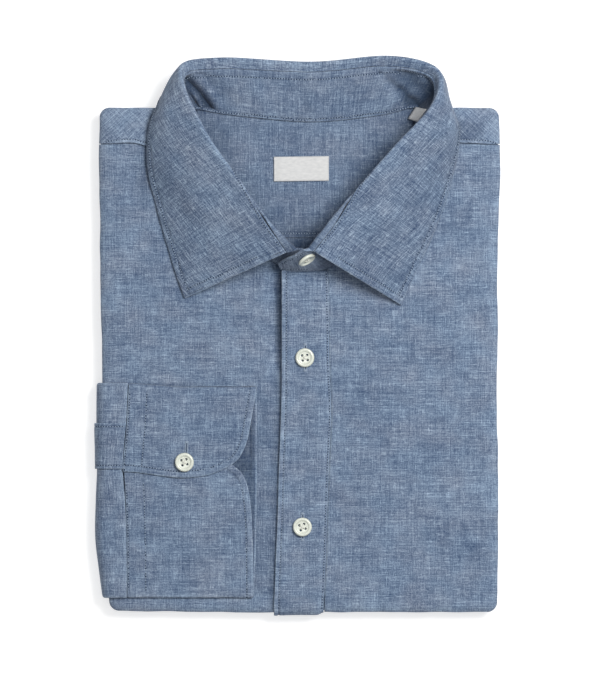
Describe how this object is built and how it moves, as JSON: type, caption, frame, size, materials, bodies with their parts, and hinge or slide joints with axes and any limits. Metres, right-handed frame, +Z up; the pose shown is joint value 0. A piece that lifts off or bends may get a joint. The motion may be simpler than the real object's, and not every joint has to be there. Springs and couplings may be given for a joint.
{
  "type": "folded shirt",
  "caption": "Long-sleeved button-through shirt in chambray, folded flat with the fronts up, the collar standing and a cuff laid on the front.",
  "frame": {"origin": "on the surface the folded shirt lies on, under the middle of its bounding box", "axes": "+X across the shirt to its wearer's left as it lies front up, +Y along the shirt towards the collar, +Z up from the surface"},
  "size_m": [0.2438, 0.3346, 0.0461],
  "materials": {
    "chambray": "mid-blue chambray with slub, matt",
    "chambray_inside": "mid-blue chambray, seen inside and at the folds, matt",
    "button": "off-white pearly resin",
    "label": "white woven tape, bare"
  },
  "bodies": {
    "root": {"folded_core": "chambray_inside", "left_front": "chambray", "right_front": "chambray", "yoke_left_shoulder": "chambray", "yoke_right_shoulder": "chambray", "yoke_inside": "chambray_inside", "back_inside": "chambray_inside", "placket_band": "chambray", "collar_stand": "chambray_inside", "collar_leaf": "chambray", "sleeve_end": "chambray", "sleeve_placket": "chambray", "cuff": "chambray", "front_button_upper": "button", "front_button_lower": "button", "cuff_button": "button", "collar_button": "button", "neck_label": "label", "size_tag": "label"}
  },
  "joints": []
}
